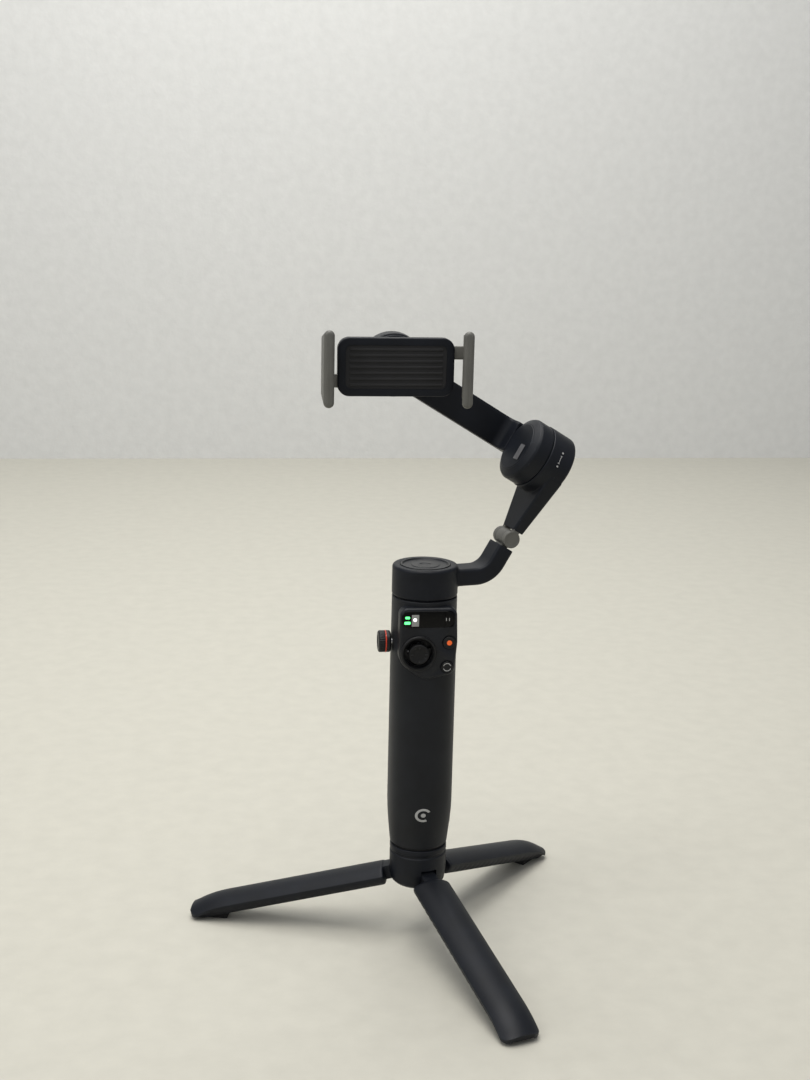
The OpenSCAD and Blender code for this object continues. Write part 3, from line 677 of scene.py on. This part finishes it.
def make_panel():
    low, high = WINDOW_Z - WINDOW_H / 2, WINDOW_Z + WINDOW_H / 2
    mode_bay = rounded([(MODE_X, low, 0.2), (WINDOW_X1, low), (WINDOW_X1, high), (MODE_X, high, 0.2)], 4, 8)
    cuts = [placed(prism(window_outline(), WINDOW_FLOOR, 24), FRONT),
            placed(prism(mode_bay, 17.6, 24), FRONT)]
    for at, r in ((RECORD_AT, RECORD_R), (SWITCH_AT, SWITCH_R)):
        well = [(0, 16), (r + 0.18, 16), (r + 0.18, 18.8), (r + 0.9, 19.3), (r + 0.9, 22), (0, 22)]
        cuts.append(placed(turned(well, 0, 64), key_place(at)))
    cuts.append(placed(plug(8.6, 12, 22), key_place((STICK.x, STICK.z))))
    plate = prism(panel_outline(), PANEL_BACK, PANEL_FACE, 0, 1.7, 6)
    piece("control_panel_skin", placed(plate, FRONT), "handle", PANEL, ("control_panel",),
          cuts=cuts)
    window = prism(window_outline(0.04), WINDOW_FLOOR, WINDOW_FACE, 0, 0.3)
    piece("status_window_glass", placed(window, FRONT), "handle", GLOSS, ("status_window",),
          cuts=[placed(block((MODE_X + 0.05, 20), (170, 200), (10, 30)), FRONT)])
    mode = prism(window_outline(0.12), WINDOW_FLOOR + 0.1, WINDOW_FACE, 0, 0.3)
    piece("mode_key_glass", placed(mode, FRONT), "mode_key", GLOSS, ("mode_button",),
          cuts=[placed(block((-20, MODE_X + 0.2), (170, 200), (10, 30)), FRONT)])


def window_mark(name, outline, material, body="handle", lift=0.0):
    """A thin lit or printed mark on the window's glass."""
    height, thick = WINDOW_FACE + lift, 0.06
    mark = prism(outline, height, height + thick, 0, thick / 2, 2)
    piece(name, placed(mark, FRONT), body, material)


def make_lights():
    window_mark("led_upper", box_outline(-12.7, -10.3, 184.9, 186.2, 0.5), GREEN_LIGHT)
    window_mark("led_lower", box_outline(-13.1, -10.0, 182.0, 183.5, 0.5), GREEN_LIGHT)
    window_mark("display_patch", box_outline(-9.3, -5.5, 180.9, 187.1, 0.25), GREY_LIGHT)
    window_mark("display_dot", circle_outline(-7.6, 184.4, 0.95, 32), WHITE_LIGHT, lift=0.05)
    for k in (-1, 1):
        x = 9.6 + k * 0.8
        bar = box_outline(x - 0.2, x + 0.2, 183.6, 185.2, 0.15)
        window_mark("mode_bar_%d" % (k + 2), bar, PRINT, "mode_key")


def make_keys():
    top = 19.9
    for name, at, r, node, body in (("record", RECORD_AT, RECORD_R, "record_button", "record_key"),
                                    ("switch", SWITCH_AT, SWITCH_R, "switch_button", "switch_key")):
        flange = r + 0.3
        profile = [(0, 16.5), (flange, 16.5, 0.1), (flange, 17.3, 0.1), (r, 17.3, 0), (r, top - 0.1, 0.5),
                   (r * 0.72, top - 0.3, 0.8), (0, top - 0.35)]
        cap = placed(turned(profile, 0.2), key_place(at))
        piece(name + "_key_cap", cap, body, KEY, (node,))
    dot = [(0, top - 0.6), (1.35, top - 0.6, 0), (1.35, top - 0.24, 0.1), (0, top - 0.12)]
    piece("record_dot", placed(turned(dot, 0.1, 48), key_place(RECORD_AT)), "record_key",
          ORANGE_DOT)
    inner, outer, gap = 1.85, 2.2, 0.35
    arcs = []
    for start in (gap, math.pi + gap):
        turns = [start + (math.pi - 2 * gap) * k / 20 for k in range(21)]
        outline = [Vector((outer * math.cos(a), outer * math.sin(a))) for a in turns]
        outline += [Vector((inner * math.cos(a), inner * math.sin(a))) for a in turns[::-1]]
        arcs.append(prism(outline, top - 0.36, top - 0.28))
    piece("switch_mark", placed(joined(*arcs), key_place(SWITCH_AT)), "switch_key", PRINT)


def make_joystick():
    place = key_place((STICK.x, STICK.z))
    deep = -STICK.y
    bezel = [(7.45, 17.4), (7.45, 19.2, 0.2), (8.3, 19.95, 0.4), (9.1, 19.95, 0.4), (9.5, 19.4, 0.3),
             (9.5, PANEL_FACE, 0), (8.6, PANEL_FACE, 0), (8.6, 17.4, 0)]
    piece("joystick_bezel_ring", placed(turned(bezel, 0.1, 128), place), "handle", KEY,
          ("joystick_bezel",))

    def finger_grip(r, h, a):
        return r * (1 - 0.03 * (0.5 + 0.5 * math.cos(36 * a))) if h > deep + 5.6 and r > 4.9 else r

    ball = 6.2
    slopes = [math.radians(d) for d in range(58, 27, -3)]
    cap = [(0, deep + 3.2), (5.0, deep + 3.2, 0.1)]
    cap += [(ball * math.sin(a), deep + ball * math.cos(a)) for a in slopes]
    cap += [(4.3, deep + 5.3, 0.2), (5.15, deep + 5.5, 0.3), (5.4, deep + 6.5, 0.4),
            (5.15, deep + 7.25, 0.35), (4.4, deep + 7.3, 0.3), (3.3, deep + 6.85, 0.8), (0, deep + 6.6)]
    piece("joystick_cap_skin", placed(turned(cap, 0.15, 144, finger_grip), place), "stick",
          STICK_RUBBER, ("joystick_cap",))
    nub = block((3.0, 4.3), (-0.35, 0.35), (deep + 6.7, deep + 7.42), 0.25)
    nubs = [placed(nub, place @ Matrix.Rotation(k * math.pi / 2, 4, "Z")) for k in range(4)]
    piece("joystick_cap_nubs", joined(*nubs), "stick", STICK_RUBBER)
    stem = [(0, deep - 0.8), (1.1, deep - 0.8, 0.2), (1.1, deep + 4, 0), (0, deep + 4)]
    piece("joystick_stem", placed(turned(stem, 0.1, 32), place), "stick", STICK_RUBBER)


def make_wheel():
    place = Matrix.Translation((0, WHEEL_Y, WHEEL_Z)) @ LEFT
    inner, outer, band_in, band_out = 18.0, 24.6, 20.4, 21.1

    def knurl(r, h, a):
        return r - 0.22 * (0.5 + 0.5 * math.cos(30 * a)) if r > 5.5 and h > band_out + 0.1 else r

    profile = [(0, inner), (4.8, inner, 0.3), (5.3, 18.2, 0.3), (5.8, 18.7, 0.3),
               (5.8, band_in - 0.05, 0.2), (5.2, band_in, 0), (5.2, band_out, 0),
               (5.8, band_out + 0.05, 0.2), (5.8, outer - 0.5, 0.5), (5.1, outer, 0.3), (3.6, outer, 0.3),
               (3.2, outer - 0.35, 0.4), (0, outer - 0.35)]
    piece("side_wheel_knob", placed(turned(profile, 0.3, 180, knurl), place), "wheel", KEY,
          ("side_wheel",))
    ring = [(5.2, band_in + 0.02), (5.95, band_in + 0.02, 0.15), (5.95, band_out - 0.02, 0.15),
            (5.2, band_out - 0.02)]
    piece("side_wheel_band", placed(turned(ring, 0.05, 128), place), "wheel", RED,
          ("wheel_ring",))


def make_trigger():
    half = 6
    front = [(12.9, 179.3), (12.5, 174.0), (13.6, 165.0)]
    back = [(12.8, 156.2), (16.4, 154.7), (20.4, 155.1), (22.5, 157.8), (22.0, 162.0), (20.4, 167.0),
            (19.6, 173.0), (19.2, 178.4), (17.2, 179.5)]
    outline = rounded(back + front, 1.4, 5)
    paddle = prism(outline, -half, half, 1.1, 1.1)
    piece("trigger_paddle", placed(paddle, SIDEWAYS), "trigger", KEY, ("trigger",))


def make_power():
    cap = prism(box_outline(-2.3, 2.3, -4.8, 4.8, 2.2, 8), 14.3, 17.9, 0, 0.5)
    place = Matrix.Translation((0, 2, 160)) @ SIDEWAYS
    piece("power_key_cap", placed(cap, place), "power_key", KEY, ("power_button",))


# ---------- pan motor and arms ----------
def swept(path, section):
    """Carries an outline along a path of (point, direction) in the arm plane; its X is the depth."""
    rings = []
    for point, direction in path:
        normal = Vector((-direction.y, direction.x))
        rings.append([(point.x + normal.x * p.y, p.x, point.y + normal.y * p.y) for p in section])
    return skin(rings)


def arm_path(stop):
    fold = Vector((ARM_OUT.dot(at_joint("arm_fold")), at_joint("arm_fold").z))
    slope = Vector((math.cos(ARM_SLOPE), math.sin(ARM_SLOPE)))
    bend_x = fold.x - (fold.y - ELBOW_Z) / math.tan(ARM_SLOPE) - ELBOW_R * math.tan(ARM_SLOPE / 2)
    path = [(Vector((x, ELBOW_Z)), Vector((1, 0))) for x in (9.0, 14.0, 20.0)]
    for k in range(17):
        a = ARM_SLOPE * k / 16
        path.append((Vector((bend_x + ELBOW_R * math.sin(a), ELBOW_Z + ELBOW_R * (1 - math.cos(a)))),
                     Vector((math.cos(a), math.sin(a)))))
    path.append((fold - slope * stop, slope))
    return path


def make_pan_arm():
    floor = PAN_TOP - CAP_DEPTH
    housing = turned([(0, PAN_BORE_TOP), (PAN_BORE_R, PAN_BORE_TOP, 0.3), (PAN_BORE_R, PAN_Z0, 0.2),
                      (PAN_R, PAN_Z0, 0.9), (PAN_R, PAN_TOP, 1.5), (13.25, PAN_TOP, 0.3),
                      (13.25, floor, 0.1), (0, floor)], 0.4, 160)
    section = box_outline(-ARM_D / 2, ARM_D / 2, -ARM_T / 2, ARM_T / 2, 1.6, 5)
    arm = placed(swept(arm_path(KNUCKLE_GAP), section), ARM)
    obj = to_object("pan_arm_skin", joined(housing, arm))
    moulded(obj)
    cut_away(obj, [plug(PAN_BORE_R, 190, PAN_BORE_TOP, 128)])
    finish_piece(obj, "pan_arm", BODY, ("pan_arm",))
    rim, dish, ring = floor + 1.75, floor + 0.95, floor + 1.25
    cap = [(0, floor), (13.15, floor, 0), (13.15, rim, 0.25), (12.3, rim, 0.25), (11.7, dish, 0.3),
           (7.7, dish, 0.2), (7.3, ring, 0.2), (3.3, ring, 0.2), (2.9, dish, 0.2), (0, dish)]
    piece("pan_cap_disc", turned(cap, 0.2, 160), "pan_arm", CAP, ("pan_cap",))


def knuckle(y0, y1, edge):
    bore = 1.55
    profile = [(bore, y0), (KNUCKLE_R, y0, edge), (KNUCKLE_R, y1, edge), (bore, y1)]
    return placed(turned(profile, 0.1), ACROSS)


def make_fold():
    half = 3.9
    tongue = block((-10.5, -4.2), (-half, half), (-2, 2), 0.3)
    barrel = joined(knuckle(-half, half, 0.15), tongue)
    piece("fold_barrel_skin", placed(barrel, FOLD), "pan_arm", GREY, ("fold_barrel",))
    inner, outer = 4.05, 7.6
    cap = [(0, inner), (KNUCKLE_R, inner, 0.15), (KNUCKLE_R, outer, 0.5), (3.7, outer, 0.1),
           (3.5, outer - 0.15, 0.1), (0, outer - 0.15)]
    parts = []
    for side in (-1, 1):
        middle = side * 5.67
        parts.append(placed(turned(cap, 0.1), Matrix.Diagonal((1, side, 1, 1)) @ ACROSS))
        parts.append(block((4.2, 9.5), (middle - 1.5, middle + 1.5), (-2, 1.8), 0.2))
    piece("fold_ears_skin", placed(joined(*parts), FOLD), "outer_arm", GREY, ("fold_ears",))


def make_outer_arm():
    floor = ARM_OUTER + TILT_WALL
    housing = turned([(0, ARM_OUTER), (TILT_R, ARM_OUTER, 1.9), (TILT_R, TILT_RIM, 0.5),
                      (TILT_BORE_R, TILT_RIM, 0.2), (TILT_BORE_R, floor, 0.3), (0, floor)], 0.4, 160)
    start, stations = FOLD_IN_TILT.x + KNUCKLE_GAP, 20
    inner_start = FOLD_IN_TILT.z + 2.2
    rings = []
    for k in range(stations + 1):
        t = k / stations
        x = blend(start, -6.0, t)
        inner = blend(inner_start, -6.0, min(1, t * 1.1))
        half = blend(ARM_D / 2, 17.2, t)
        rings.append([(x, p.x, p.y) for p in box_outline(-half, half, ARM_OUTER, inner, 1.3, 4)])
    obj = to_object("outer_arm_skin", placed(joined(housing, skin(rings)), TILT))
    moulded(obj)
    cut_away(obj, [placed(plug(15.6, ARM_OUTER + 2, 5, 128), TILT)])
    finish_piece(obj, "outer_arm", BODY, ("outer_arm",))


def bar_outline():
    """The bar from the side, as (depth, height along the tilt axis)."""
    back, front, foot = BAR_Y + BAR_T / 2, BAR_Y - BAR_T / 2, ROTOR_Z0 + 0.2
    return rounded([(11, foot, 0.3), (back, foot, 6), (back, BAR_END, 1), (front, BAR_END, 1),
                    (front, ROTOR_Z1, 5), (11, ROTOR_Z1, 0.3)], 1, 8)


def make_tilt_rotor():
    rim = 17.6
    profile = [(0, ROTOR_Z0), (rim, ROTOR_Z0, 0.5), (rim, 8.2, 0.9), (16.8, 9.5, 0.8), (13.6, 11.3, 0.5),
               (13.2, 11.35, 0.1), (12.9, 11.6, 0.3), (0, 12.1)]
    piece("tilt_rotor_cap", placed(turned(profile, 0.5, 160), TILT), "tilt_arm", BODY)
    ring = turned([(12.4, -8), (15.2, -8, 0.2), (15.2, 1.4, 0.2), (12.4, 1.4)], 0.1)
    shaft = turned([(0, -11.5), (2.5, -11.5), (2.5, 2), (0, 2)], 0.1, 48)
    rotor = piece("tilt_rotor_ring", placed(joined(ring, shaft), TILT), "tilt_arm", STEEL)
    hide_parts("tilt_rotor")


def make_bar():
    half, lip = BAR_W / 2, 14.4
    bar = placed(prism(bar_outline(), BAR_X - half, BAR_X + half, 1.3, 1.3), TILT @ SIDEWAYS)
    drum = turned([(0, ROLL_Y0 + 2), (lip, ROLL_Y0 + 2, 0.2), (lip, ROLL_Y0, 0.2), (ROLL_R, ROLL_Y0, 0.6),
                   (ROLL_R, ROLL_Y1, 2.6), (0, ROLL_Y1)], 0.5, 160)
    obj = to_object("bar_arm_skin", joined(bar, placed(drum, ROLL @ BACK)))
    moulded(obj, 0.34)
    cut_away(obj, [placed(plug(lip, ROLL_Y0 - 1, ROLL_Y1 - 2, 128), ROLL @ BACK)])
    finish_piece(obj, "tilt_arm", BODY, ("bar_arm", "bar_cover"))
    badge = [(0, ROLL_Y1 - 0.4), (10.6, ROLL_Y1 - 0.4, 0), (10.6, ROLL_Y1, 0.2), (9.8, ROLL_Y1, 0.2),
             (9.4, ROLL_Y1 - 0.25, 0.1), (0, ROLL_Y1 - 0.2)]
    piece("roll_badge", placed(turned(badge, 0.1, 128), ROLL @ BACK), "tilt_arm", CAP)
    margin = half - 2.4
    cover = prism(box_outline(-margin, margin, ROTOR_Z1 + 4, 62, 3), 0, 0.5, 0, 0.3)
    to_back = axes(Vector((BAR_X, BAR_Y + BAR_T / 2 - 0.35, 0)), Vector((-1, 0, 0)), Vector((0, 0, 1)),
                   Vector((0, 1, 0)))
    piece("bar_cover_plate", placed(cover, TILT @ to_back), "tilt_arm", CAP)


def make_marks():
    """Plain marks: a double-ended line with two dots on the motor, and a grey label on the rotor's face."""
    thick, sink = 0.07, 0.03
    angle, height = math.radians(-76), -5.7
    normal = Vector((math.cos(angle), math.sin(angle), 0))
    on_motor = axes(normal * (TILT_R - sink) + Vector((0, 0, height)), UP.cross(normal), UP, normal)
    line = [box_outline(-2.0, 2.0, -0.14, 0.14, 0.1), box_outline(-2.2, -1.9, -0.6, 0.6, 0.1),
            box_outline(1.9, 2.2, -0.6, 0.6, 0.1), box_outline(-4.3, -3.4, -0.5, 0.5, 0.2),
            box_outline(3.4, 4.3, -0.5, 0.5, 0.2)]
    for k, outline in enumerate(line):
        mark = prism(outline, 0, thick, 0, 0.03, 2)
        piece("motor_mark_%d" % k, placed(mark, TILT @ on_motor), "outer_arm", PRINT)
    label = prism(box_outline(-2.6, 2.6, -4.4, 4.4, 0.5), 0, thick, 0, 0.03, 2)
    on_rotor = axes(Vector((-2.5, -6.5, 12.02)), Vector((0, 1, 0)), Vector((-1, 0, 0)), UP)
    piece("rotor_label", placed(label, TILT @ on_rotor), "tilt_arm", LABEL)


# ---------- phone clamp ----------
def make_clamp():
    place = ROLL @ FRONT
    back, seam, front = -7.1, -3.0, -1.2
    outline = box_outline(-CLAMP_W / 2, CLAMP_W / 2, -CLAMP_H / 2, CLAMP_H / 2, 6, 8)
    plate = prism(outline, back, seam, 0.9, 0.2)
    disc = turned([(0, back - 1), (14.8, back - 1, 0.5), (14.8, back + 0.2), (0, back + 0.2)], 0.2, 128)
    channels = [block((-40, 40), (s * 7.35 - 3.65, s * 7.35 + 3.65), (-5.8, -2.0)) for s in (-1, 1)]
    piece("clamp_back", placed(joined(plate, disc), place), "clamp", BODY, ("clamp_base",),
          cuts=[placed(c, place) for c in channels])
    cover = prism(outline, seam, front, 0.2, 0.7)
    tray = prism(box_outline(-26, 26, -11.2, 11.2, 3, 6), front - 0.5, 0)
    piece("clamp_front", placed(cover, place), "clamp", BODY, ("clamp_cover",),
          cuts=[placed(tray, place)])
    pad = prism(box_outline(-25.9, 25.9, -11.1, 11.1, 3, 6), -1.75, -1.5)
    ribs = [block((-24, 24), (y - 0.7, y + 0.7), (-1.8, front), 0.3) for y in range(-9, 10, 3)]
    piece("clamp_pad", placed(joined(pad, *ribs), place), "clamp", FOOT_RUBBER)


def make_jaw(side, name, node, body):
    """One hook of the clamp: a rounded bar, hollowed to an L, with its pad and its rack."""
    place = ROLL @ FRONT
    inner, depth = PHONE_W / 2, -JAW_FRONT
    x0, x1 = sorted((side * (inner - JAW_LIP), side * (inner + JAW_WALL)))
    verts, faces = prism(box_outline(x0, x1, -JAW_H / 2, JAW_H / 2, 2.65, 10), -7, depth, 0.9, 1.9, 6)
    tapered = [(x, y * (1 - 0.012 * max(0.0, 7.5 - z)), z) for x, y, z in verts], faces
    room = block(sorted((side * (inner - 20), side * inner)), (-40, 40), (-20, depth - 2.2))
    piece(name, placed(tapered, place), body, GREY, (node,), cuts=[placed(room, place)])
    pad = block(sorted((side * (inner - 0.02), side * (inner - 0.35))), (-16, 16), (-0.5, 8.8), 0.12)
    piece(name + "_pad", placed(pad, place), body, FOOT_RUBBER)
    rack_x = sorted((side * 4.0, side * (inner + 1)))
    rack_z = sorted((side * 4.0, side * 10.8))
    rack = block(rack_x, rack_z, (-5.5, -3.3), 0.3)
    piece(name + "_rack", placed(rack, place), body, GREY)


# ---------- everything ----------
def dress_cad_nodes():
    """Materials for the CAD pieces that stay as they are, mostly inside."""
    by_slot = {"steel": STEEL, "tube_alloy": ALLOY, "brass": BRASS, "copper_winding": COPPER,
               "magnet": MAGNET, "board_green": BOARD, "cell_blue": CELL, "white_plastic": ACETAL,
               "body_black": BODY,
               "key_black": KEY, "grey_plastic": GREY, "foot_rubber": FOOT_RUBBER, "cap_black": CAP}
    for sub in frame["record"]["subparts"]:
        obj = frame["nodes"][sub["node"]]
        if sub["material_slot"] in by_slot:
            obj.data.materials.clear()
            obj.data.materials.append(by_slot[sub["material_slot"]])


def make_stage():
    floor_mat = surface("floor_paint", (0.50, 0.485, 0.42), 0.55, grain=1.5, depth=0.03, vary=0.03)
    wall_mat = surface("wall_paper", (0.60, 0.60, 0.58), 0.8, grain=6, depth=0.6, vary=0.03)
    floor = to_object("floor", block((-3000, 3000), (-3000, 1500), (-20, 0)))
    wall = to_object("wall", block((-3000, 3000), (1500, 1540), (-20, 2600)))
    for obj, mat in ((floor, floor_mat), (wall, wall_mat)):
        obj.data.materials.append(mat)


def area_light(name, at, target, size, power, colour=(1, 1, 1)):
    data = bpy.data.lights.new(name, "AREA")
    data.shape = "DISK"
    data.size = size
    data.energy = power
    data.color = colour
    obj = bpy.data.objects.new(name, data)
    obj.location = at
    obj.rotation_euler = (Vector(target) - Vector(at)).to_track_quat("-Z", "Y").to_euler()
    bpy.context.scene.collection.objects.link(obj)


def make_lights_and_camera():
    world = bpy.data.worlds.new("studio")
    world.use_nodes = True
    world.node_tree.nodes["Background"].inputs["Color"].default_value = (0.93, 0.95, 1.0, 1)
    world.node_tree.nodes["Background"].inputs["Strength"].default_value = 0.45
    bpy.context.scene.world = world
    bpy.context.scene.view_settings.view_transform = "Standard"
    area_light("top", (-0.15, -0.1, 1.5), (0, 0, 0.1), 1.1, 17, (1.0, 0.98, 0.95))
    area_light("side", (-1.0, -0.5, 0.9), (0, 0, 0.2), 0.6, 3)
    area_light("wall_wash", (0, 0.7, 1.6), (0, 1.5, 0.7), 1.0, 16)
    elevation, azimuth, roll, distance = math.radians(13.08), math.radians(-8.0), math.radians(1.33), 785
    outward = Vector((math.sin(azimuth), -math.cos(azimuth), 0))
    back = outward * math.cos(elevation) + UP * math.sin(elevation)
    right = Vector((math.cos(azimuth), math.sin(azimuth), 0))
    up = back.cross(right)
    tilted_right = right * math.cos(roll) + up * math.sin(roll)
    tilted_up = up * math.cos(roll) - right * math.sin(roll)
    target = right * -11.0 + Vector((0, 0, 222.0))
    data = bpy.data.cameras.new("camera")
    data.sensor_fit = "VERTICAL"
    data.sensor_height = 36
    data.lens = 49.9
    camera = bpy.data.objects.new("camera", data)
    camera.matrix_world = axes((target + back * distance) * MM, tilted_right, tilted_up, back)
    bpy.context.scene.collection.objects.link(camera)
    bpy.context.scene.camera = camera


dress_cad_nodes()
make_hub()
for leg_name in LEGS:
    make_leg(leg_name)
for cad_node, width in (("hub_washer", 0.25), ("hub_base_cap", 0.3), ("base_cap", 0.3)):
    softened(cad_node, width, FOOT_RUBBER if cad_node == "hub_washer" else BODY)
make_grip()
make_grip_mark()
make_panel()
make_lights()
make_keys()
make_joystick()
make_wheel()
make_trigger()
make_power()
make_pan_arm()
make_fold()
make_outer_arm()
make_tilt_rotor()
make_bar()
make_marks()
make_clamp()
make_jaw(-1, "jaw_left_hook", "jaw_left", "jaw_l")
make_jaw(1, "jaw_right_hook", "jaw_right", "jaw_r")
make_stage()
make_lights_and_camera()
